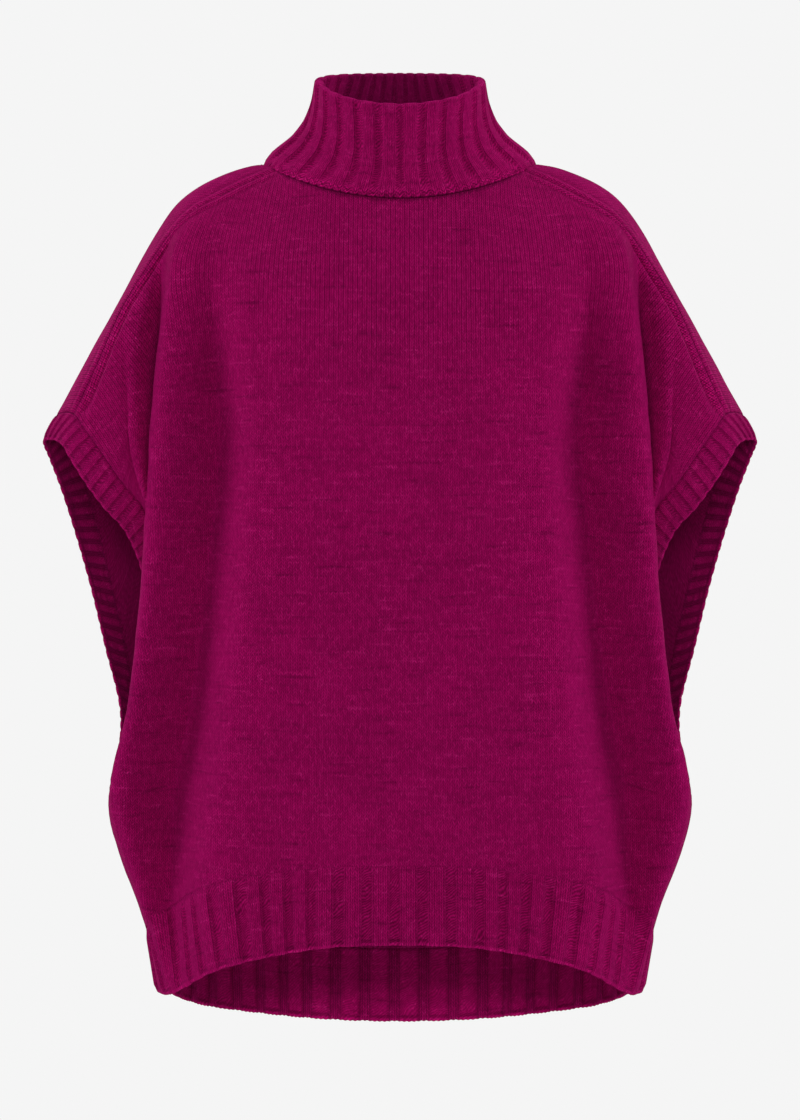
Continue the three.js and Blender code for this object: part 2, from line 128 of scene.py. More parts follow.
BACK_GUIDES = {
    "centre": [
        (0, 56, 45), (0, 70, 10), (0, 86, -30), (0, 102, -85), (0, 114, -150), (0, 122, -230),
        (0, 127, -320), (0, 131, -420), (0, 135, -520), (0, 139, -630), (0, 143, -747),
    ],
    "blade": [
        (60, 48, 44), (62, 61.4, 8), (63, 80, -30), (64, 98, -84), (66, 111, -149), (68, 119, -229),
        (70, 125, -319), (73, 129, -419), (77, 133, -519), (80, 137, -630), (82, 141, -744),
    ],
    "neck_corner": [
        (108, 12, 30), (111.7, 35, 3.5), (117, 59, -21), (121, 84, -80), (125, 101, -148), (128, 111, -228),
        (132, 119, -318), (137, 125, -418), (143, 129, -519), (150, 132, -629), (152, 132, -738),
    ],
    "side_neck": [
        (119, -28, 8), (129, 0, 0), (140, 27, -7), (144, 64, -47), (150, 92, -120), (150, 108, -204),
        (149, 119, -301), (152, 126, -406), (158, 130, -512), (166, 131, -625), (171, 127, -735),
    ],
    "shoulder": [
        (126, -72, -50), (115.6, -38.2, -9.7), (147, 0, -4.5), (160, 45, -34), (166, 80, -98),
        (165, 104, -185), (165, 117, -285), (168, 124, -395), (173, 128, -505), (181, 128, -620),
        (188, 118, -730),
    ],
    "back_trough": [
        (206, -68, -83), (194, -43, -48.4), (203, 0, -32), (208, 42, -60), (207, 70, -121), (205, 82, -201),
        (206, 88, -292), (209, 92, -392), (213, 94, -500), (216, 94, -610), (207, 92, -722),
    ],
    "sleeve": [
        (254, -61, -155), (256, -45.5, -134), (265.5, 0, -135), (266, 40, -158), (259, 66, -204),
        (252, 78, -267), (246, 86, -340), (241, 89, -424), (240, 84, -513), (252, 60, -606), (224, 52, -714),
    ],
    "armhole": [
        (294, -52, -245), (302, -42, -235), (322, 0, -236), (315, 36, -258), (301, 58, -297),
        (288, 65, -345), (275, 67, -400), (262, 66, -460), (254, 52, -522), (272, 0, -595), (236.5, 0, -716),
    ],
}
# The free edge of the armhole rib, from its outer tip in to the underarm.
ARMHOLE_EDGE = {
    "front": [
        (322, -20, -257), (313, -37, -263), (305, -45, -276), (291, -48, -298), (274, -47, -321),
        (254, -42, -344), (236, -20, -402), (244, -10, -498), (265, 0, -572),
    ],
    "back": [
        (322, -20, -257), (334, 2, -258), (330, 25, -274), (320, 39, -303), (307, 45, -345), (293, 48, -395),
        (279, 48, -453), (264, 34, -513), (265, 0, -572),
    ],
}
# Where the guide past a panel's edge starts.
PAST_ARMHOLE = {"front": (334, 4, -258), "back": (313, -36, -263)}
# The lowest edge of the hem rib, from the centre out to the side seam.
HEM_EDGE = {
    "front": [
        (0, -148, -717), (80, -147, -721), (164, -125, -741), (202, -74, -764), (214, -55, -771),
        (221, -37, -772), (226, -18, -772), (227, 0, -772),
    ],
    "back": [
        (0, 145, -817), (82, 143, -814), (150, 133, -806), (169, 128, -803), (188, 118, -799),
        (208, 91, -790), (220, 48, -779), (227, 0, -772),
    ],
}

MIRROR = np.array([-1, 1, 1])
GUIDES = {"front": FRONT_GUIDES, "back": BACK_GUIDES}
ARMHOLE_PLACE = 7
OUTER_FOLD = {"front": 4, "back": 5}
OUTWARD = {"front": 1, "back": -1}


# ---- curves and nets ----


def between(a, b, c, d, share):
    """Points of the centripetal Catmull-Rom curve between b and c."""

    def knot(p, q):
        return np.maximum(1e-3, np.sqrt(np.linalg.norm(q - p, axis=-1)))[..., None]

    tb = knot(a, b)
    tc = tb + knot(b, c)
    td = tc + knot(c, d)
    t = tb + share * (tc - tb)

    def mix(p, q, t0, t1):
        return p + (q - p) * (t - t0) / (t1 - t0)

    ab, bc, cd = mix(a, b, 0, tb), mix(b, c, tb, tc), mix(c, d, tc, td)
    return mix(mix(ab, bc, 0, tc), mix(bc, cd, tb, td), tb, tc)


def along(points, places):
    """Points on the curves through lists, at places counted in points; the ends run straight on."""
    points = np.asarray(points, float)
    places = np.asarray(places, float)
    index = np.clip(np.floor(places).astype(int), 0, points.shape[-2] - 2)
    head = 2 * points[..., :1, :] - points[..., 1:2, :]
    tail = 2 * points[..., -1:, :] - points[..., -2:-1, :]
    padded = np.concatenate([head, points, tail], axis=-2)
    corners = [padded[..., index + k, :] for k in range(4)]
    return between(*corners, (places - index)[..., None])


def smooth(low, high, value):
    """0 below low, 1 above high, and a soft step between."""
    share = np.clip((value - low) / (high - low), 0, 1)
    return share * share * (3 - 2 * share)


def near(distance, reach):
    """1 at an edge, and a soft fall to 0 at a reach from it."""
    return smooth(-reach, 0, -distance)


def bell(value, middle, half_width):
    """A bell curve, 1 high at its middle."""
    return np.exp(-(((value - middle) / half_width) ** 2))


def unit(vectors):
    """Vectors brought to length 1."""
    return vectors / np.maximum(1e-9, np.linalg.norm(vectors, axis=-1, keepdims=True))


def running_length(points):
    """Distance run along a line of points, from its start."""
    return np.concatenate([[0], np.cumsum(np.linalg.norm(np.diff(points, axis=0), axis=-1))])


def neck_point(degrees):
    """The neck seam, by the angle round from the centre front."""
    angle = np.radians(degrees)
    lean = np.cos(angle)
    front = np.maximum(lean, 0)
    rear = np.maximum(-lean, 0)
    y = -NECK["front_reach"] * front + NECK["back_reach"] * rear
    z = -NECK["front_drop"] * front ** NECK["drop_power"] + NECK["back_rise"] * rear ** NECK["drop_power"]
    return np.stack([NECK["half_width"] * np.sin(angle), y, z], axis=-1)


SEAM_LINE = np.vstack([neck_point(np.array([NECK["seam_angle"]])), SHOULDER_SEAM])

# The top edge of a panel, guide by guide: angles round the neck, then places along the shoulder seam.
TOP_EDGE = {
    "front": {"angles": (0, 27.7, NECK["seam_angle"]), "seam": (0, 2, 3, 4, 6, 8)},
    "back": {"angles": (180, 151.3, 120, 90, NECK["seam_angle"]), "seam": (0, 3, 6, 8)},
}


def neck_corner(kind):
    """The place where a panel's top edge leaves the neck for the shoulder seam."""
    return len(TOP_EDGE[kind]["angles"]) - 1


def top_edge(kind, places):
    """The top edge of a panel: the neck as far as the shoulder seam, then that seam."""
    corner = neck_corner(kind)
    neck = neck_point(np.interp(places, np.arange(corner + 1), TOP_EDGE[kind]["angles"]))
    stops = np.interp(places, np.arange(corner, ARMHOLE_PLACE + 1), TOP_EDGE[kind]["seam"])
    return np.where((places <= corner)[:, None], neck, along(SEAM_LINE, stops))


def past_edge(kind):
    """The guide just past a panel's edge: the armhole rib, then under the arm the other panel."""
    sleeve = GUIDES[kind]["sleeve"]
    turned = [np.array(sleeve[level]) * (1, -1, 1) for level in (UNDERARM_LEVEL, HEM_LEVEL)]
    return np.vstack([[PAST_ARMHOLE[kind]], ARMHOLE_EDGE[kind][: UNDERARM_LEVEL - 1], turned])


def guide_net(kind, levels, places):
    """A net on a panel's guides: one row for each level, one column for each place."""
    columns = [along(path, levels) for path in GUIDES[kind].values()]
    columns.append(along(past_edge(kind), levels))
    right = np.stack(columns, axis=1)
    line = np.concatenate([right[:, :0:-1] * MIRROR, right], axis=1)
    return along(line, len(GUIDES[kind]) + np.asarray(places, float))


TOP_LEVEL = 1.0
TOP_FADE_LEVEL = 1.6
# How far a panel swells between two guides, so that a fold is full and its valleys are sharp.
FULLNESS = {  # inner guide, mm, levels where it grows, levels where it fades
    "front": [
        (2, 5.5, (1.5, 4.5), (9, 10)), (3, 9.5, (1.5, 5.5), (9.2, 10)), (5, 8.0, (1.5, 3.0), (5.5, 7.5)),
    ],
    "back": [],
}
FULLNESS_LOST = 0.8


def loose_half(kind, levels, places):
    """The right half of a panel's net, its top row laid on the neck and shoulder seams."""
    net = guide_net(kind, levels, places)
    start = guide_net(kind, np.array([TOP_LEVEL]), places)[0]
    fade = 1 - smooth(TOP_LEVEL, TOP_FADE_LEVEL, levels)
    net += (top_edge(kind, places) - start)[None] * fade[:, None, None]
    for guide, depth, growing, fading in FULLNESS[kind]:
        amount = depth * smooth(*growing, levels) * (1 - FULLNESS_LOST * smooth(*fading, levels))
        share = np.clip(places - guide, 0, 1)
        net[..., 1] -= amount[:, None] * np.sin(np.pi * share)[None]
    return net


SIDE_DRAW_IN = 3.0
SIDE_SEAM_LEVELS = (8.9, 9.0)
SIDE_SEAM_PLACES = (5.5, 7.0)


def side_line(levels):
    """The side seam below the underarm, half way between the two panels' own edges."""
    edge = np.array([ARMHOLE_PLACE])
    ends = [loose_half(kind, levels, edge)[:, 0] for kind in GUIDES]
    line = (ends[0] + ends[1]) / 2 * (1, 0, 1)
    line[:, 0] -= SIDE_DRAW_IN * np.sin(np.pi * np.clip(levels - UNDERARM_LEVEL, 0, 1)) ** 2
    return line


def seamed_half(kind, levels, places):
    """The right half of a panel, brought to the shared side seam."""
    net = loose_half(kind, levels, places)
    edge = loose_half(kind, levels, np.array([ARMHOLE_PLACE]))[:, 0]
    pull = (side_line(levels) - edge) * smooth(*SIDE_SEAM_LEVELS, levels)[:, None]
    return net + pull[:, None] * smooth(*SIDE_SEAM_PLACES, places)[None, :, None]


def both_halves(right, mirror=MIRROR):
    """A whole net from its right half."""
    return np.concatenate([right[:, :0:-1] * mirror, right], axis=1)


def net_normals(net, loop=False):
    """The direction square to a net at each of its points; on the front it is outward."""
    if loop:
        sides = np.roll(net, -1, axis=1) - np.roll(net, 1, axis=1)
    else:
        sides = np.gradient(net, axis=1)
    return unit(np.cross(np.gradient(net, axis=0), sides))


def lengths(net, axis):
    """Distance run along one axis of a net, from its start."""
    steps = np.linalg.norm(np.diff(net, axis=axis), axis=-1)
    pad = [(0, 0), (0, 0)]
    pad[axis] = (1, 0)
    return np.pad(np.cumsum(steps, axis=axis), pad)


class Lattice:
    """Soft noise: a seeded grid of numbers, read between its points."""

    SIZE = 64

    def __init__(self, seed):
        self.values = np.random.default_rng(seed).uniform(-1, 1, (self.SIZE, self.SIZE))

    def corner(self, i, j):
        return self.values[i % self.SIZE, j % self.SIZE]

    def __call__(self, u, v):
        i, j = np.floor(u).astype(int), np.floor(v).astype(int)
        a, b = smooth(0, 1, u - i), smooth(0, 1, v - j)
        low = self.corner(i, j) * (1 - a) + self.corner(i + 1, j) * a
        high = self.corner(i, j + 1) * (1 - a) + self.corner(i + 1, j + 1) * a
        return low * (1 - b) + high * b


# ---- meshes ----

RIM_STEPS = 4


def new_piece(name, points, faces, corners, sizes, flat):
    """A mesh piece from flat arrays.

    corners maps an attribute's name to its values, one for each corner of a face."""
    mesh = bpy.data.meshes.new(name)
    mesh.vertices.add(len(points))
    mesh.vertices.foreach_set("co", (points * MM).reshape(-1).astype(np.float32))
    mesh.loops.add(len(faces))
    mesh.loops.foreach_set("vertex_index", faces.astype(np.int32))
    starts = np.concatenate([[0], np.cumsum(sizes)[:-1]]).astype(np.int32)
    mesh.polygons.add(len(sizes))
    mesh.polygons.foreach_set("loop_start", starts)
    mesh.polygons.foreach_set("use_smooth", ~flat)
    mesh.update(calc_edges=True)
    for key, values in corners.items():
        layer = mesh.attributes.new(key, "FLOAT_VECTOR", "CORNER")
        layer.data.foreach_set("vector", values.reshape(-1).astype(np.float32))
    mesh.validate()
    piece = bpy.data.objects.new(name, mesh)
    bpy.context.scene.collection.objects.link(piece)
    return piece


def half_round(edge_out, edge_in, away, wall):
    """The points between an outer and an inner edge, round a rim."""
    middle = (edge_out + edge_in) / 2
    half = (edge_out - edge_in) / 2
    turns = np.pi * np.arange(1, RIM_STEPS) / RIM_STEPS
    return [middle + half * math.cos(t) + away * math.sin(t) * wall / 2 for t in turns]


def face_corners(values, loop, turn=0.0):
    """The four corners of each face of a closed stack of rows; turn is what one way round a loop adds."""
    low = np.roll(values, -1, axis=0)
    if not loop:
        return [values[:, :-1], low[:, :-1], low[:, 1:], values[:, 1:]]
    right, low_right = np.roll(values, -1, axis=1), np.roll(low, -1, axis=1)
    if np.any(turn):
        right[:, -1, 0] += turn
        low_right[:, -1, 0] += np.roll(turn, -1)
    return [values, low, low_right, right]


def cloth_mesh(name, outer, inner, knit, edges, rim_wall=0.0, loop=False, flip=False):
    """A closed sheet from two skins. rim_wall rounds its lowest edge; every other edge is cut square.

    knit holds the wale and course at each point, and edges three distances that the yarn reads."""
    count, columns = outer.shape[:2]
    rim = half_round(outer[-1], inner[-1], unit(outer[-1] - outer[-2]), rim_wall) if rim_wall else []
    rings = np.array([*outer, *rim, *inner[::-1]])
    total = len(rings)
    row_of = [*range(count), *[count - 1] * len(rim), *range(count - 1, -1, -1)]
    round_rim = [math.cos(math.pi * (k + 1) / RIM_STEPS) for k in range(len(rim))]
    side = np.array([1.0] * count + round_rim + [-1.0] * count)
    side = np.repeat(side[:, None, None], columns, 1)
    layers = {"knit": np.concatenate([knit[row_of], side], -1), "edges": edges[row_of]}
    wale = layers["knit"][..., 0]
    turns = {"knit": (wale[:, -1] - wale[:, 0]) / (columns - 1) * columns}
    grid = np.arange(total * columns).reshape(total, columns)

    def quads_of(values, turn=0.0):
        sets = face_corners(values, loop, turn)
        return np.stack(sets[::-1] if flip else sets, axis=2)

    quads = quads_of(grid)
    flat = np.zeros(quads.shape[:2], bool)
    flat[-1] = True
    if not rim:
        flat[count - 1] = True
    faces, sizes, flat = [quads.reshape(-1)], [4] * flat.size, [flat.reshape(-1)]
    corners = {key: [quads_of(layer, turns.get(key, 0.0)).reshape(-1, 3)] for key, layer in layers.items()}
    if not loop:
        # Close the two side edges, from the top of the sheet down to its rim.
        strips = [[row, total - 1 - row, total - 2 - row, row + 1] for row in range(count - 1)]
        if rim:
            strips.append(list(range(count - 1, count + len(rim) + 1))[::-1])
        for column, turned in ((0, False), (columns - 1, True)):
            for strip in strips:
                strip = strip[::-1] if turned != flip else strip
                faces.append(grid[strip, column])
                sizes.append(len(strip))
                for key, layer in layers.items():
                    corners[key].append(layer[strip, column])
            flat.append(np.ones(len(strips), bool))
    corners = {key: np.concatenate(value) for key, value in corners.items()}
    return new_piece(name, rings.reshape(-1, 3), np.concatenate(faces), corners, sizes, np.concatenate(flat))


# ---- the two panels ----


def spans(counts):
    """Places from guide to guide, with a count of columns for each span."""
    steps = [np.linspace(k, k + 1, count, endpoint=False) for k, count in enumerate(counts)]
    return np.concatenate([*steps, [float(len(counts))]])


PANEL_PLACES = {
    "front": spans((16, 20, 22, 22, 14, 14, 18)),
    "back": spans((14, 14, 12, 12, 24, 24, 24)),
}
# Levels of the rows: close together beside the top seams, where the cloth rolls over the stitching.
SEAM_END = 1.5
SEAM_LEVELS = TOP_LEVEL + (SEAM_END - TOP_LEVEL) * np.linspace(0, 1, 16) ** 1.5
PANEL_LEVELS = np.concatenate([SEAM_LEVELS, np.arange(SEAM_END, HEM_LEVEL, 1 / 13)[1:], [float(HEM_LEVEL)]])
# The rolled shoulder seam and the chain of shaping stitches beside it.
SHOULDER_RELIEF = [  # height, distance from the seam, half width
    (-0.8, 0.0, 2.0), (0.95, 5.5, 2.4), (-0.5, 10.5, 2.0),
]
# The groove beside an armhole rib, and the hollow of the sleeve below the front's shoulder seam.
EDGE_GROOVE, EDGE_GROOVE_WIDTH = 0.7, 2.6
HOLLOW = {"front": 6.0, "back": 0.0}
HOLLOW_MIDDLE, HOLLOW_WIDTH = 13, 8.0
SLEEVE_PLACES = (4.6, 5.4)
BELOW_ARM_LEVELS = (8.7, 8.95)
# The courses are counted from a level where they run straight across.
LEVEL_COURSE = 5.5
WAVE_SEED = {"front": 3, "back": 4}
WAVES = [  # height, width in wales, length in courses, shift along each
    (0.5, 16, 18, 20, 0), (0.4, 9, 5, 7, 5),
]
# Added to a distance to say that a seam or a rib isn't there.
NO_RIB, NO_NECK, NO_SEAM = 60, 40, 60


def hem_line(kind, level, places):
    """A panel's row beside its hem rib, from one side seam to the other."""
    row = seamed_half(kind, np.array([level]), np.abs(places))[0]
    row[:, 0] *= np.sign(places)
    return row


def hem_low_line(kind, places):
    """The lowest edge of a hem rib, at the places of the panel above it."""
    edge = np.array(HEM_EDGE[kind], float)
    line = np.concatenate([edge[:0:-1] * MIRROR, edge])
    return along(line, ARMHOLE_PLACE + places)


def hem_seam_normals(kind, places):
    """The outward directions that a panel and its hem rib share along their seam."""
    top = hem_line(kind, HEM_LEVEL, places)
    above = hem_line(kind, HEM_LEVEL - 0.05, places)
    below = top + (hem_low_line(kind, places) - top) * 0.06
    return net_normals(np.array([above, top, below]))[1] * OUTWARD[kind]


def panel_knit(kind, right, levels, places):
    """Wale and course numbers for a half panel. Beyond the outer fold the wales run with the armhole."""
    run = lengths(right, 1)
    total = run[:, -1:]
    fold = OUTER_FOLD[kind]
    from_edge = total[0] - (total - run)
    sleeve = smooth(fold, fold + 1.0, places)[None] * (1 - smooth(4.5, 6.5, levels))[:, None]
    wale = run * (1 - sleeve) + from_edge * sleeve
    down = lengths(right, 0)
    level_row = np.argmin(np.abs(levels - LEVEL_COURSE))
    return wale / WALE, (down - down[level_row][None]) / COURSE


def panel(kind, name):
    """A knitted panel: its net, the relief of its seams and soft waves, and its two skins."""
    places, levels = PANEL_PLACES[kind], PANEL_LEVELS
    right = seamed_half(kind, levels, places)
    right[:, 0, 0] = 0
    wale, course = panel_knit(kind, right, levels, places)
    net = both_halves(right)
    wales = both_halves(wale, mirror=-1)
    courses = both_halves(course, mirror=1)
    from_top = lengths(net, 0)
    from_hem = from_top[-1:] - from_top
    from_left = lengths(net, 1)
    # Below the underarm there is a side seam, and no armhole rib.
    below_arm = smooth(*BELOW_ARM_LEVELS, levels)[:, None]
    from_edge = np.minimum(from_left, from_left[:, -1:] - from_left) + NO_RIB * below_arm
    whole_places = np.concatenate([-places[:0:-1], places])
    reach = np.abs(whole_places)
    corner = neck_corner(kind)
    on_shoulder = smooth(corner - 0.1, corner + 0.15, reach)[None]
    on_sleeve = smooth(*SLEEVE_PLACES, reach)[None]

    relief = sum(height * bell(from_top, place, width) for height, place, width in SHOULDER_RELIEF)
    relief = relief * on_shoulder * (1 - 0.5 * on_sleeve)
    relief -= EDGE_GROOVE * bell(from_edge, 0, EDGE_GROOVE_WIDTH) * smooth(0, 6, from_top)
    hollow = HOLLOW[kind] * bell(from_top, HOLLOW_MIDDLE, HOLLOW_WIDTH)
    relief -= hollow * on_sleeve * smooth(0, 20, from_edge)
    soft = Lattice(WAVE_SEED[kind])
    wave = sum(height * soft(wales / wide + u, courses / tall + v) for height, wide, tall, u, v in WAVES)
    relief += wave * smooth(4, 30, from_top) * smooth(0, 25, from_hem) * smooth(0, 12, from_edge)

    net = net + net_normals(net) * OUTWARD[kind] * relief[..., None]
    normals = net_normals(net) * OUTWARD[kind]
    normals[-1] = hem_seam_normals(kind, whole_places)
    half_wall = normals * JERSEY_WALL / 2
    knit = np.stack([wales, courses], -1)
    from_seam, from_neck = from_top + NO_SEAM * (1 - on_shoulder), from_top + NO_NECK * on_shoulder
    edges = np.stack([from_seam, from_edge, from_neck], -1)
    return cloth_mesh(name, net + half_wall, net - half_wall, knit, edges, flip=kind == "back")


# ---- ribs ----


def rib_profile(phase):
    """Height across a rib, -1 to 1: a full knit column, then a sunk purl column. Phase 0 is mid purl."""
    steepness, knit_share = 2.6, 0.35
    return np.tanh(steepness * (knit_share - np.cos(2 * np.pi * phase))) / math.tanh(steepness)


def rib_walls(down):
    """Half the wall of a rib: as thick as the jersey where it joins, then full."""
    return (JERSEY_WALL + (RIB_WALL - JERSEY_WALL) * smooth(0, 6, down))[..., None] / 2


def even_places(curve_of_place, places, count):
    """Places that cut a curve into steps of even length."""
    run = running_length(curve_of_place(places))
    return np.interp(np.linspace(0, run[-1], count), run, places)


def at_runs(line, run, wanted):
    """Points of a line at wanted lengths along a run."""
    return np.stack([np.interp(wanted, run, line[:, axis]) for axis in range(3)], -1)


# The two kinds of rib, in mm: the relief of the columns and how far from the seam it is full grown; at the
# free edge, where it fades, a tuck of the edge and of its knit columns, and beads and scallops along it;
# and a bow of the whole width and a groove at the seam.
HEM = {
    "repeat": 6, "rows": 22, "relief": 1.8, "sunk": 0.2, "grown": 12, "fade": 6, "tuck": 0.35, "bow": 0.0,
    "tuck_rib": 0.63, "tuck_reach": 7, "bead": 0.32, "scallop": 0.25, "bead_reach": 5, "groove": 0.0,
}
BAND = {
    "repeat": 4, "rows": 11, "relief": 0.7, "sunk": 0.0, "grown": 4, "fade": 5, "tuck": 0.4, "bow": 0.8,
    "tuck_rib": 0.0, "tuck_reach": 6, "bead": 0.0, "scallop": 0.22, "bead_reach": 7, "groove": 0.6,
}
GROOVE_WIDTH = 2.2
EDGE_FADE = 0.6


def ribbed_sheet(name, rib, seam, free, phase, outward, seam_normals=None, loop=False, flip=False):
    """A rib from its seam to its free edge; phase counts its repeats along them."""
    shares = np.linspace(0, 1, rib["rows"])[:, None]
    net = seam[None] + (free - seam)[None] * shares[..., None]
    normals = net_normals(net, loop) * outward
    wale = phase * rib["repeat"]
    height = rib_profile(phase)[None]
    down = lengths(net, 0)
    from_low = down[-1:] - down
    relief = rib["relief"] * (height - rib["sunk"]) * smooth(0, rib["grown"], down)
    relief = relief * (1 - EDGE_FADE * near(from_low, rib["fade"]))
    relief -= (rib["tuck"] + rib["tuck_rib"] * height) * near(from_low, rib["tuck_reach"])
    relief += rib["bow"] * np.sin(np.pi * shares) - rib["groove"] * bell(down, 0, GROOVE_WIDTH)
    beads = rib["bead"] * np.cos(2 * np.pi * wale)[None] + rib["scallop"] * height
    beads = beads * near(from_low, rib["bead_reach"])
    net = net + normals * relief[..., None] + unit(net[-1:] - net[:1]) * beads[..., None]
    if seam_normals is not None:
        normals[0] = seam_normals
    knit = np.stack([np.repeat(wale[None], rib["rows"], 0), down / COURSE], -1)
    edges = np.stack([down, from_low, down * 0], -1)
    wall = normals * rib_walls(down)
    return cloth_mesh(name, net + wall, net - wall, knit, edges, RIB_WALL, loop=loop, flip=flip)


HEM_COLUMNS_PER_WALE = 7
HEM_PHASE = 0.19
HEM_RIBS = {  # run from the centre, ribs counted; beyond the table they are at their full width
    "front": [(0, 0), (76, 3), (138, 6), (165, 7)],
    "back": [(0, 0), (86, 3), (155, 6), (181, 7)],
}


def ribs_along(kind, run):
    """Ribs counted from the centre of a hem; they crowd a little beside the folds."""
    table = np.array(HEM_RIBS[kind], float)
    reach = np.abs(run)
    beyond = np.maximum(reach - table[-1, 0], 0) / (HEM["repeat"] * WALE)
    return np.sign(run) * (np.interp(reach, table[:, 0], table[:, 1]) + beyond)


def hem_rib(kind, name):
    """The wide rib below a panel, on the panel's own lowest row."""

    def middle_line(places):
        return (hem_line(kind, HEM_LEVEL, places) + hem_low_line(kind, places)) / 2

    dense = np.linspace(-ARMHOLE_PLACE, ARMHOLE_PLACE, 1401)
    length = running_length(middle_line(dense))[-1]
    count = int(length / WALE * HEM_COLUMNS_PER_WALE)
    places = even_places(middle_line, dense, count)
    phase = ribs_along(kind, np.linspace(-length / 2, length / 2, count)) + HEM_PHASE
    seam, free = hem_line(kind, HEM_LEVEL, places), hem_low_line(kind, places)
    seam_normals = hem_seam_normals(kind, places)
    return ribbed_sheet(name, HEM, seam, free, phase, OUTWARD[kind], seam_normals, flip=kind == "back")


BAND_COLUMNS_PER_REPEAT = 16


def armhole_rib(side, name):
    """A narrow rib round one armhole: down its front edge and up its back edge."""
    end = UNDERARM_LEVEL - TOP_LEVEL
    dense = np.linspace(0, 2 * end, 1601)
    levels = np.where(dense <= end, dense, 2 * end - dense)
    lines = {"seam": {}, "free": {}}
    for kind in GUIDES:
        lines["seam"][kind] = seamed_half(kind, TOP_LEVEL + levels, np.array([ARMHOLE_PLACE]))[:, 0]
        lines["free"][kind] = along(ARMHOLE_EDGE[kind], levels)
    is_front = (dense <= end)[:, None]
    seam, free = (np.where(is_front, line["front"], line["back"]) for line in lines.values())
    run = running_length((seam + free) / 2)
    repeats = round(run[-1] / (BAND["repeat"] * BAND_WALE))
    count = repeats * BAND_COLUMNS_PER_REPEAT
    even = np.arange(count) / count * run[-1]
    to_side = np.array([side, 1, 1])
    seam, free = (at_runs(line, run, even) * to_side for line in (seam, free))
    return ribbed_sheet(name, BAND, seam, free, even / run[-1] * repeats, -side, loop=True, flip=side > 0)


# The collar's yarn tells its two halves apart by a distance that stands for the seam.
OUTER_HALF, ROLLED_IN = 60, 40


def rim_point(angle):
    """A point of the collar's slanted rim, by the angle round from the centre front."""
    front, back = COLLAR["rim_front_reach"], COLLAR["rim_back_reach"]
    low, high = COLLAR["rim_front_height"], COLLAR["rim_back_height"]
    lean = np.cos(angle)
    y = -front * np.maximum(lean, 0) + back * np.maximum(-lean, 0)
    z = low + (high - low) / (front + back) * (y + front) + COLLAR["rim_side_rise"] * np.sin(angle) ** 2
    return np.stack([COLLAR["rim_half_width"] * np.sin(angle), y, z], -1)


def collar_flare(share):
    """How much of the spread from rim to foot is left at a share of the height."""
    keys = np.array(COLLAR_FLARE, float)
    path = np.stack([keys[:, 0] * 100, keys[:, 1] * 100, np.zeros(len(keys))], -1)
    place = np.interp(share, keys[:, 0], np.arange(len(keys)))
    return along(path, np.atleast_1d(place))[0, 1] / 100


def collar_middle(degrees, share):
    """The middle of the collar's wall; share is the height from the neck seam to the rim."""
    angle = np.radians(degrees)
    foot = neck_point(degrees)
    rim = rim_point(angle + np.radians(COLLAR["rib_turn"]) * share * np.sin(angle))
    low = foot[..., 2] + COLLAR["lift"]
    point = rim + (foot - rim) * collar_flare(share)
    point[..., 2] = low + share * (rim[..., 2] - low)
    return point


def collar_foot(climb, sideways, wale):
    """How the foot rounds in to the panels: its change outwards, and how far its loops hang down."""
    loops = (np.cos(2 * np.pi * wale) * 0.4 + np.cos(np.pi * wale + 1.1) * 0.8)[None]
    rounding = (1 - np.sqrt(np.clip(climb / (6 + 16 * sideways), 0, 1))) ** 1.5
    roll = 0.4 * loops * bell(climb, 3, 2.2) - (2.1 + 3.4 * sideways**2) * rounding
    return roll, 0.8 * loops * bell(climb, 0, 2)


def collar(name):
    """The collar: one tall rib folded over at the rim, so both faces show the right side of the rib."""
    dense = np.linspace(0, 360, 2881)
    run = running_length(neck_point(dense))
    count = COLLAR["repeats"] * COLLAR["columns_per_repeat"]
    even = np.arange(count) / count * run[-1]
    degrees = np.interp(even, run, dense)
    middle = np.array([collar_middle(degrees, share) for share in np.linspace(0, 1, COLLAR["rows"])])
    rise = unit(np.gradient(middle, axis=0))
    round_about = np.roll(middle, -1, axis=1) - np.roll(middle, 1, axis=1)
    outward = unit(np.cross(round_about, rise))
    phase = even / run[-1] * COLLAR["repeats"]
    height = rib_profile(phase)
    climb = lengths(middle, 0)
    sideways = (np.sin(np.radians(degrees)) ** 2)[None]
    base = COLLAR_WALL / 2
    wale = phase * HEM["repeat"]
    relief = (COLLAR["relief"] + COLLAR["side_relief"] * sideways) * height[None]
    out = base + relief * (0.1 + 0.9 * smooth(3, 15, climb))
    roll, hang = collar_foot(climb, sideways, wale)
    outer = middle + outward * (out + roll)[..., None] - rise * hang[..., None]
    inner = middle - outward * out[..., None]
    rim = []
    for t in np.pi * np.arange(1, COLLAR["rim_steps"]) / COLLAR["rim_steps"]:
        reach = (base + height * (0.3 + 1.2 * math.cos(t) ** 2))[:, None]
        rim.append(middle[-1] + (outward[-1] * math.cos(t) + rise[-1] * math.sin(t)) * reach)
    net = np.array([*outer, *rim, *inner[::-1]])
    climb = lengths(net, 0)
    knit = np.stack([np.repeat(wale[None], len(net), 0), -climb / COURSE, climb * 0 + 1], -1)
    frontward = 1 - 0.7 * smooth(0.6, 0.95, sideways)
    half = OUTER_HALF + ROLLED_IN * (climb > climb[-1:] / 2)
    edges = np.stack([half, np.minimum(climb, climb[-1:] - climb), climb * 0 + frontward], -1)
    grid = np.arange(len(net) * count).reshape(len(net), count)

    def quads_of(values, turn=0.0):
        values, low, low_right, right = face_corners(values, True, turn)
        return np.stack([values, right, low_right, low], 2)

    quads = quads_of(grid)
    flat = np.zeros(quads.shape[:2], bool)
    flat[-1] = True
    whole_turn = np.full(len(net), COLLAR["repeats"] * HEM["repeat"])
    corners = {"knit": quads_of(knit, whole_turn), "edges": quads_of(edges)}
    return new_piece(name, net.reshape(-1, 3), quads.reshape(-1), corners, [4] * flat.size, flat.reshape(-1))


# ---- materials ----


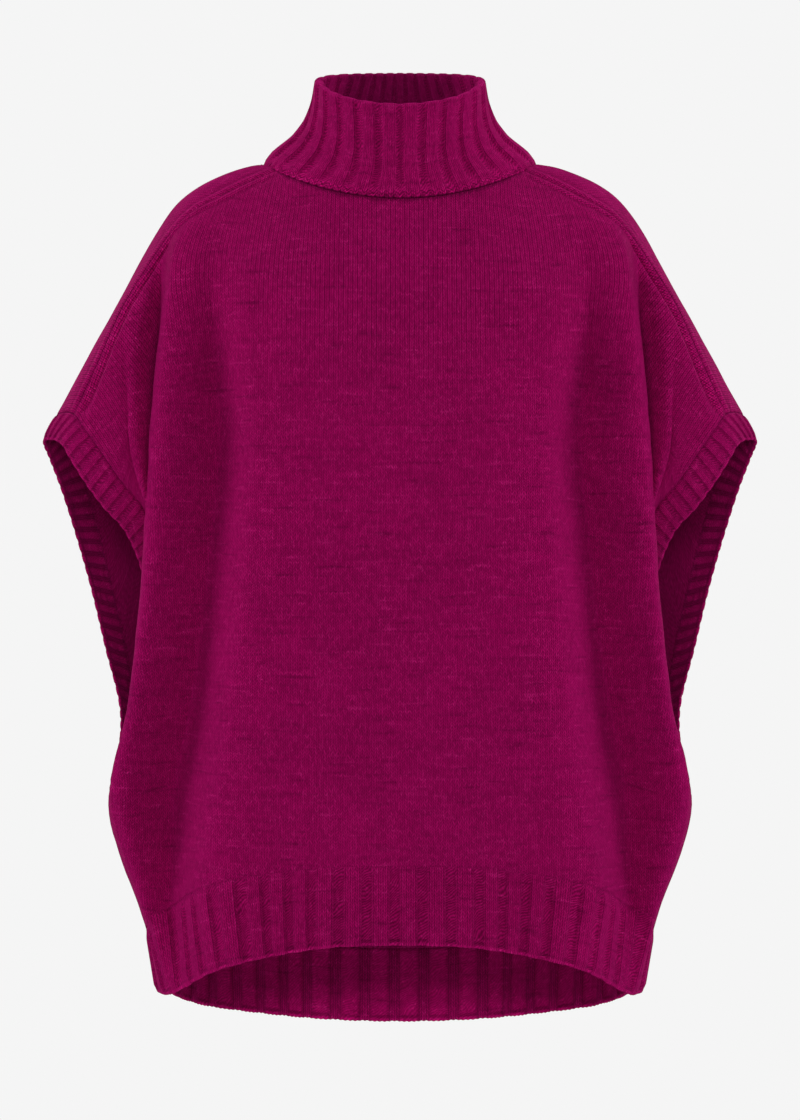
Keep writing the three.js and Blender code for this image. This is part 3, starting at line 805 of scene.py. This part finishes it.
def linear(r, g, b):
    """An sRGB colour, 0 to 255, as linear light."""
    return tuple(((c / 255 + 0.055) / 1.055) ** 2.4 if c > 10 else c / 255 / 12.92 for c in (r, g, b))


class Signal:
    """One number on its way through a material. Arithmetic on it adds Math nodes."""

    def __init__(self, tree, socket):
        self.tree = tree
        self.socket = socket

    def math(self, operation, *others):
        """A Math node's result, of this signal and any others."""
        node = add_node(self.tree, "Math", dict(enumerate((self, *others))), operation=operation)
        return Signal(self.tree, node.outputs[0])

    def __add__(self, other):
        return self.math("ADD", other)

    def __sub__(self, other):
        return self.math("SUBTRACT", other)

    def __mul__(self, other):
        return self.math("MULTIPLY", other)

    def __rsub__(self, other):
        return (self * -1.0) + other

    __radd__ = __add__
    __rmul__ = __mul__

    def step(self, low, high):
        """0 below low, 1 above high, and a soft step between."""
        ends = {"Value": self, "From Min": low, "From Max": high}
        node = add_node(self.tree, "MapRange", ends, interpolation_type="SMOOTHSTEP")
        return Signal(self.tree, node.outputs["Result"])

    def fall(self, low, high):
        """1 below low, 0 above high, and a soft step between."""
        return 1.0 - self.step(low, high)

    def line(self, middle, full, none):
        """1 within full of a middle value, 0 further than none from it."""
        return (self - middle).math("ABSOLUTE").fall(full, none)

    def hill(self):
        """1 at whole numbers, 0 half way between them."""
        return (self * math.tau).math("COSINE") * 0.5 + 0.5

    def mix(self, other, share):
        return self + (other - self) * share

    def dim(self, mask, amount):
        """This signal, less by an amount of itself where a mask is 1."""
        return self * (1.0 - mask * amount)


def plug(tree, node, inputs):
    """Sets a node's inputs to numbers and colours, or links signals and other nodes' outputs to them."""
    for key, value in inputs.items():
        if isinstance(value, Signal):
            value = value.socket
        if isinstance(value, bpy.types.NodeSocket):
            tree.links.new(value, node.inputs[key])
        else:
            node.inputs[key].default_value = value


def add_node(tree, kind, inputs=None, **settings):
    """A new shader node, with its settings and its inputs."""
    node = tree.nodes.new("ShaderNode" + kind)
    for key, value in settings.items():
        setattr(node, key, value)
    plug(tree, node, inputs or {})
    return node


def three_signals(tree, socket):
    """The three parts of a vector."""
    return [Signal(tree, part) for part in add_node(tree, "SeparateXYZ", {0: socket}).outputs]


def attribute(tree, name):
    """The three numbers that a piece's corners carry under a name."""
    node = add_node(tree, "Attribute", attribute_name=name)
    return three_signals(tree, node.outputs["Vector"])


def combined(tree, parts):
    """A vector of signals or numbers."""
    return add_node(tree, "CombineXYZ", dict(enumerate(parts))).outputs[0]


def noise(tree, place, detail, rough=0.5):
    """Noise from 0 to 1, with features about one unit wide."""
    inputs = {"Vector": combined(tree, place), "Scale": 1.0, "Detail": detail, "Roughness": rough}
    return Signal(tree, add_node(tree, "TexNoise", inputs).outputs["Fac"])


# The yarn: mixed light and dark fibres of one magenta.
YARN_MAIN = linear(144, 5, 79)
YARN_LIGHT = linear(204, 46, 132)
YARN_SURFACE = {
    "Roughness": 0.9, "Specular IOR Level": 0.02, "Sheen Weight": 0.25, "Sheen Roughness": 0.6,
    "Sheen Tint": (0.9, 0.02, 0.35, 1),
}
YARN_BUMP = {"Distance": 0.0009, "Strength": 0.5}
LIGHTER = {"fleck": 0.3, "slub": 0.15, "own": 0.1}

# Noise that follows the knitting: features per wale, features per course, slice of the noise, detail.
CLOTH_NOISE = {
    "lean": (0.5, 0.35, 3.0, 1.0),
    "crowd": (0.12, 0.16, 9.0, 1.0),
    "wander": (0.8, 0.12, 5.0, 1.0),
    "sway": (0.3, 0.12, 21.0, 1.0),
    "mottle": (0.2, 0.3, 1.0, 2.0),
    "streak": (0.06, 0.6, 2.0, 1.5),
    "slub": (0.16, 0.8, 4.0, 1.0),
    "thin": (0.11, 0.75, 14.0, 1.0),
}
# Noise that doesn't: features per metre, detail, roughness.
SPACE_NOISE = {
    "fuzz": (1100.0, 2.0, 0.7),
    "cloud": (14.0, 2.0, 0.5),
    "fleck": (420.0, 1.0, 0.5),
}
# How much each of these changes the tone.
TONE = {
    "cloud": 0.26, "mottle": 0.24, "streak": 0.3, "own": 0.28, "slub": 0.02, "slub_strand": 0.24, "thin": 0.3,
    "strand": 0.6,
}
# A leg of a stitch drops this many courses from the middle of its wale to its side.
LEG_SLANT = 1.15

# Ribs: wales in a repeat, half a purl column in wales, how light a purl column is beside a knit one (painted
# shade in the sunk column), how much lighter or darker the inside is (painted light inside the hem ribs,
# painted shade inside the armhole bands), where a wale starts, and how far and how much the join is darker
# (painted shade at the seam).
WIDE_RIB = {
    "repeat": 6, "purl_half": 1.15, "purl_tone": 0.9, "inside": 0.24, "wale_start": 0.5,
    "join": 5.0, "join_tone": 0.0, "join_purl_tone": 0.1,
}
NARROW_RIB = {
    "repeat": 4, "purl_half": 0.85, "purl_tone": 0.78, "inside": -0.2, "wale_start": 0.0,
    "join": 3.0, "join_tone": 0.12, "join_purl_tone": 0.0,
}
# Knit columns are painted lighter than the sunk purl columns, as painted shade in the purl columns.
KNIT_COLUMN_TONE = 1.09

# Drag creases across the folds: place and size in metres. Their troughs are painted darker, as painted shade.
CREASES = [  # distance from the centre, height, half length, half height, slope, spacing, depth of tone
    (0.187, -0.2, 0.034, 0.028, 0.25, 0.0068, 0.14),
    (0.188, -0.342, 0.032, 0.03, 0.22, 0.0078, 0.1),
    (0.225, -0.581, 0.018, 0.0022, 0.27, 0.0044, 0.3),
    (0.198, -0.495, 0.008, 0.0022, 0.2, 0.0044, 0.25),
]
CREASE_RELIEF = 0.8


class Knitting:
    """The stitches of one material: where a point lies in them, their relief and their tone."""

    def __init__(self, tree, rib):
        self.tree = tree
        self.rib = rib
        self.wale, self.course, self.side = attribute(tree, "knit")
        # On a rib the third distance is instead 0 on a hem or band, and up to 1 on the collar.
        self.from_seam, self.from_edge, self.from_neck = attribute(tree, "edges")
        self.place = three_signals(tree, add_node(tree, "TexCoord").outputs["Object"])
        self.inside = 0.5 - self.side * 0.5
        # Below the collar the wales are pulled straight and open; their gaps are painted darker there, partly
        # for the open stitches and partly as painted shade under the collar.
        self.pull = self.from_neck.fall(90.0, 240.0)
        self.lay_stitches()
        self.shape_stitches()

    def cloth_noise(self, name):
        """Noise from 0 to 1 that follows the wales and courses."""
        by_wale, by_course, part, detail = CLOTH_NOISE[name]
        return noise(self.tree, (self.wale * by_wale, self.course * by_course, part), detail)

    def space_noise(self, name):
        """Noise from 0 to 1 that is the same in all directions."""
        scale, detail, rough = SPACE_NOISE[name]
        return noise(self.tree, [part * scale for part in self.place], detail, rough)

    def lay_stitches(self):
        """Where the point lies across and down the stitches, which lean and crowd a little."""
        self.lean = self.cloth_noise("lean") - 0.5
        self.across = self.wale + self.lean * (0.3 if self.rib else 0.62 - self.pull * 0.45)
        crowd = self.cloth_noise("crowd") - 0.5
        self.down = self.course + crowd * 2.4 + (self.cloth_noise("wander") - 0.5) * 0.9

    def shape_stitches(self):
        """The relief of knit and purl stitches, and which of the two shows."""
        if self.rib:
            repeat, purl_half = self.rib["repeat"], self.rib["purl_half"]
            self.from_purl = ((self.wale * (1 / repeat) + 0.5).math("FRACT") - 0.5) * repeat
            self.purl_outside = self.from_purl.math("ABSOLUTE").fall(purl_half - 0.2, purl_half + 0.2)
            # In a rib the purl arcs lean across the column.
            arc = self.from_purl * 1.15 + (self.cloth_noise("sway") - 0.5) * 5.0
            start = self.rib["wale_start"]
        else:
            self.purl_outside = self.wale * 0.0
            arc = ((self.across + 0.5).math("FRACT") - 0.5).math("ABSOLUTE") * 0.9
            start = 0.0
        # The inside of the cloth shows the other face of each stitch.
        self.purl = (self.purl_outside - 0.5) * self.side + 0.5
        # A knit stitch is a V of two legs; legs of one wale meet less deeply than legs of two wales.
        in_wale = (self.across + start).math("FRACT")
        from_middle = (in_wale - 0.5).math("ABSOLUTE") * 2.0
        leg = 1.0 - (in_wale * 2.0).hill().math("POWER", 2.0)
        slanted = self.down + from_middle * LEG_SLANT
        self.strand = slanted.hill()
        knit_height = leg * (self.strand * 0.5 + 0.5)
        # A purl stitch is a row of arcs that hook into each other.
        self.purl_row = (self.down + arc + (self.across * 2.0).hill() * 0.15).hill()
        self.height = knit_height.mix(self.purl_row * 0.8, self.purl) + (self.space_noise("fuzz") - 0.5) * 0.5
        # The gaps between the legs, deepest between two wales, are later painted darker: painted shade
        # between the legs.
        self.gap = (1.0 - leg) * (1.0 - self.purl)
        self.deep = self.gap * from_middle.step(0.5, 1.0)
        # Every leg has a tone of its own.
        cell = combined(self.tree, ((self.across * 2.0).math("FLOOR"), (slanted + 0.5).math("FLOOR")))
        white = add_node(self.tree, "TexWhiteNoise", {"Vector": cell})
        self.own = Signal(self.tree, white.outputs["Value"]) - 0.5

    def yarn_tone(self):
        """The yarn's own tone: slubs along a course, wider clouds from the dye; then painted shade along each
        knit leg.
        """
        self.slub = self.cloth_noise("slub").step(0.56, 0.8)
        thin = self.cloth_noise("thin").step(0.56, 0.8)
        tone = 1.0 + (self.space_noise("cloud") - 0.5) * TONE["cloud"] + self.own * TONE["own"]
        for name in ("mottle", "streak"):
            tone = tone + (self.cloth_noise(name) - 0.5) * TONE[name]
        tone = tone + self.slub * (self.strand * TONE["slub_strand"] + TONE["slub"]) - thin * TONE["thin"]
        return tone * ((self.strand - 0.5) * TONE["strand"] * (1.0 - self.purl) + 1.0)

    def rib_tone(self):
        """How a rib's columns, edges and joins change the tone, mostly as painted shade and a painted
        highlight.
        """
        rib, on_collar = self.rib, self.from_neck
        # At the foot of the collar the columns run out into the join.
        column = self.purl_outside * (1.0 - self.from_edge.fall(4.0, 16.0) * on_collar * 0.8)
        # The gaps between stitch legs are painted darker: painted shade between them.
        tone = 1.0 - self.gap * 0.42 - self.deep * 0.14
        # Purl columns are painted darker than knit columns: painted shade in the sunk columns.
        drop = KNIT_COLUMN_TONE - rib["purl_tone"]
        # The inside term paints light onto the inside of the hem ribs and paints shade into the inside of the
        # armhole bands.
        tone = tone * (KNIT_COLUMN_TONE - column * drop + self.inside * rib["inside"])
        # The purl columns' edges are painted as shade lines, darker on the left edge, where the groove wall
        # cuts off the light.
        left_edge_shade = self.from_purl.line(-rib["purl_half"], 0.2, 0.6)
        right_edge_shade = self.from_purl.line(rib["purl_half"], 0.2, 0.6)
        tone = tone * (1.0 - (left_edge_shade * 0.2 + right_edge_shade * 0.12) * (1.0 - on_collar * 0.7))
        # Purl arcs are painted lighter on their crests and darker between them, as painted shade of the arcs.
        tone = tone * ((self.purl_row - 0.5) * (0.8 - self.inside * 0.35) * self.purl + 1.0)
        # The cast-off edge is painted as a bright line, a painted highlight, and a purl column ends in a
        # small dark pocket above it, painted shade.
        pocket = self.from_edge.line(3.4, 0.6, 2.4) * self.purl
        tone = tone.dim(pocket, 0.34) * (1.0 + self.from_edge.fall(0.6, 2.0) * 0.34)
        # The join with the panel is painted darker: painted shade in the seam's groove.
        join_shade = self.from_seam.fall(0.5, rib["join"])
        tone = tone * (1.0 - join_shade * (self.purl * rib["join_purl_tone"] + rib["join_tone"]))
        # Loops of the join show as a zigzag at the foot of the collar.
        zigzag = (self.from_edge * 0.28 + (self.wale * 0.5).hill() * 0.7).hill()
        tone = tone * (1.0 + self.from_edge.line(3.0, 1.5, 4.0) * on_collar * (zigzag - 0.35) * 0.9)
        # A dark line along the collar's foot is painted shadow beneath the foot.
        tone = tone.dim(self.from_edge.fall(0.0, 1.5) * on_collar, 0.45)
        # The collar's rolled-in half is painted darker: painted shade inside the collar.
        return tone.dim(self.from_seam.step(OUTER_HALF + 5.0, OUTER_HALF + 35.0) * on_collar, 0.34)

    def jersey_tone(self):
        """How the gaps between wales and the seams change the tone of a panel, mostly as painted shade."""
        # The gaps between stitch legs are painted darker: painted shade between them.
        tone = 1.0 - self.gap * (self.pull * 0.04 + 0.3) - self.deep * (self.pull * 0.34 + 0.04)
        # On the inside face, purl arcs are painted lighter on their crests and darker between them, as
        # painted shade.
        tone = tone.dim(self.purl, 0.3) * ((self.purl_row - 0.5) * 0.5 * self.purl + 1.0)
        # Seams: a groove painted dark, as painted shade, then a chain of slanted shaping stitches beside it,
        # and past the chain a painted shade line.
        groove = (self.from_seam + self.own * 1.5).fall(0.4, 3.2)
        chain = self.from_seam.line(6.0, 1.5, 4.0)
        links = (self.down * 0.55 + self.from_seam * 0.28 + self.wale * 0.55).hill()
        shade_line = self.from_seam.line(11.0, 0.8, 3.0)
        # Beside an armhole rib the panel is painted darker: painted shade in the groove at the join.
        band = (self.from_edge + self.own * 2.0).fall(0.4, 3.0)
        # Under the collar a dark line is painted: painted shadow beneath the collar's foot.
        collar_shadow = (self.from_neck + self.own * 2.0).fall(1.0, 4.5)
        tone = tone.dim(groove, 0.26) * (1.0 + chain * (links - 0.4) * 0.9)
        return tone.dim(shade_line, 0.2).dim(band, 0.2).dim(collar_shadow, 0.4)

    def crease(self, reach, level, half_length, half_height, slope, spacing):
        """The ripples of one group of drag creases, 0 to 1, on both sides of the garment."""
        x, _, z = self.place
        aside = x.math("ABSOLUTE") - reach
        rise = z - level + aside * slope
        within = (aside * (1 / half_length)).math("ABSOLUTE").fall(0.3, 1.0)
        within = within * (rise * (1 / half_height)).math("ABSOLUTE").fall(0.5, 1.0)
        return (rise * (1 / spacing) + self.lean * 0.6).hill() * within


def knit_yarn(name, rib=None):
    """Knitted yarn, as jersey or as a rib."""
    material = bpy.data.materials.new(name)
    material.use_nodes = True
    tree = material.node_tree
    knitting = Knitting(tree, rib)
    tone, height = knitting.yarn_tone(), knitting.height
    if rib:
        tone = tone * knitting.rib_tone()
    else:
        tone = tone * knitting.jersey_tone()
        # Each crease's troughs are painted darker, as painted shade, and sunk in the bump.
        for *where, depth in CREASES:
            ripple = knitting.crease(*where)
            tone = tone.dim(ripple, depth)
            height = height - ripple * CREASE_RELIEF
    fleck = knitting.space_noise("fleck").step(0.6, 0.8)
    lighter = fleck * LIGHTER["fleck"] + knitting.slub * LIGHTER["slub"] + knitting.own * LIGHTER["own"]
    colours = {"A": (*YARN_MAIN, 1), "B": (*YARN_LIGHT, 1), "Factor": lighter}
    ramp = add_node(tree, "Mix", colours, data_type="RGBA")
    shade = add_node(tree, "VectorMath", {0: ramp.outputs["Result"], "Scale": tone}, operation="SCALE")
    bump = add_node(tree, "Bump", {**YARN_BUMP, "Height": height})
    surface = {"Base Color": shade.outputs[0], "Normal": bump.outputs[0], **YARN_SURFACE}
    plug(tree, tree.nodes["Principled BSDF"], surface)
    return material


jersey = knit_yarn("jersey_yarn")
wide_rib = knit_yarn("wide_rib_yarn", WIDE_RIB)
narrow_rib = knit_yarn("narrow_rib_yarn", NARROW_RIB)

# ---- the pieces ----

pieces = {
    "front_panel": panel("front", "knit_front"),
    "back_panel": panel("back", "knit_back"),
    "front_hem_rib": hem_rib("front", "knit_front_hem"),
    "back_hem_rib": hem_rib("back", "knit_back_hem"),
    "left_armhole_rib": armhole_rib(1, "knit_left_armhole"),
    "right_armhole_rib": armhole_rib(-1, "knit_right_armhole"),
    "collar": collar("knit_collar"),
}
for node, piece in pieces.items():
    is_panel = node.endswith("panel")
    rib = narrow_rib if "armhole" in node else wide_rib
    piece.data.materials.append(jersey if is_panel else rib)
    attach(piece, "root")
    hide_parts(node)

# ---- stage, light and camera, in metres ----

FLOOR_DROP = 0.7
FLOOR_RADIUS = 4.3
FLOOR_SIDES = 96
FLOOR_TONE = (0.7, 0.7, 0.7, 1)
GARMENT_MIDDLE = (0, 0, -0.37)
# Soft boxes: place, width, height, watts. The side boxes stand left and right, as the camera sees them.
SIDE_BOXES = {
    "box": ((2.4, -0.5, 0.15), 0.9, 1.6, 21),
    "high_box": ((1.6, -0.3, 1.5), 0.9, 0.9, 15.5),
    "rear_box": ((2.3, 3.0, 0.5), 0.9, 1.6, 44),
}
FRONT_BOX = ((0, -4.3, 0.35), 2.0, 0.5, 80)
TOP_BOX = ((0, 0.9, 2.1), 1.8, 0.8, 18)
TOP_BOX_TARGET = (0, 0, -0.1)
BACKDROP = linear(245, 245, 245)
WORLD_LIGHT = 0.005
CAMERA_DISTANCE = 4.0
CAMERA_LENS_MM = 137.1
CAMERA_SENSOR_MM = 36


def round_floor():
    """A plain pale disc, well below the garment."""
    height = cad_bounds[0].z - FLOOR_DROP
    turns = [2 * math.pi * k / FLOOR_SIDES for k in range(FLOOR_SIDES)]
    points = [(FLOOR_RADIUS * math.cos(t), FLOOR_RADIUS * math.sin(t), height) for t in turns]
    mesh = bpy.data.meshes.new("floor")
    mesh.from_pydata(points, [], [tuple(range(FLOOR_SIDES))])
    pale = bpy.data.materials.new("pale_floor")
    pale.use_nodes = True
    shader = pale.node_tree.nodes["Principled BSDF"]
    plug(pale.node_tree, shader, {"Base Color": FLOOR_TONE, "Roughness": 0.9})
    mesh.materials.append(pale)
    disc = bpy.data.objects.new("floor", mesh)
    bpy.context.scene.collection.objects.link(disc)
    return disc


def aim(thing, place, target):
    """Puts a light or camera at a place, looking at a target."""
    thing.location = place
    thing.rotation_mode = "QUATERNION"
    thing.rotation_quaternion = (Vector(place) - Vector(target)).to_track_quat("Z", "Y")


def soft_box(name, place, width, height, power, target=GARMENT_MIDDLE):
    """A soft light: a rectangle that faces its target."""
    data = bpy.data.lights.new(name, "AREA")
    data.shape = "RECTANGLE"
    data.size = width
    data.size_y = height
    data.energy = power
    lamp = bpy.data.objects.new(name, data)
    bpy.context.scene.collection.objects.link(lamp)
    aim(lamp, place, target)


def pale_world():
    """A world that the camera sees as a pale backdrop, and that lights the garment only a little."""
    world = bpy.data.worlds.new("studio")
    world.use_nodes = True
    tree = world.node_tree
    tree.nodes.clear()
    seen = add_node(tree, "Background", {"Color": (*BACKDROP, 1)})
    lit = add_node(tree, "Background", {"Color": (1, 1, 1, 1), "Strength": WORLD_LIGHT})
    is_camera = add_node(tree, "LightPath").outputs["Is Camera Ray"]
    mix = add_node(tree, "MixShader", {"Fac": is_camera, 1: lit.outputs[0], 2: seen.outputs[0]})
    add_node(tree, "OutputWorld", {"Surface": mix.outputs[0]})
    return world


floor = round_floor()
for side, hand in ((-1, "left"), (1, "right")):
    for box, ((x, y, z), width, height, power) in SIDE_BOXES.items():
        soft_box(f"{hand}_{box}", (side * x, y, z), width, height, power)
soft_box("front_box", *FRONT_BOX)
soft_box("top_box", *TOP_BOX, target=TOP_BOX_TARGET)
bpy.context.scene.world = pale_world()

camera_data = bpy.data.cameras.new("camera")
camera_data.lens = CAMERA_LENS_MM
camera_data.sensor_width = CAMERA_SENSOR_MM
camera = bpy.data.objects.new("camera", camera_data)
bpy.context.scene.collection.objects.link(camera)
aim(camera, (0, -CAMERA_DISTANCE, GARMENT_MIDDLE[2]), GARMENT_MIDDLE)
bpy.context.scene.camera = camera
bpy.context.scene.view_settings.view_transform = "Standard"
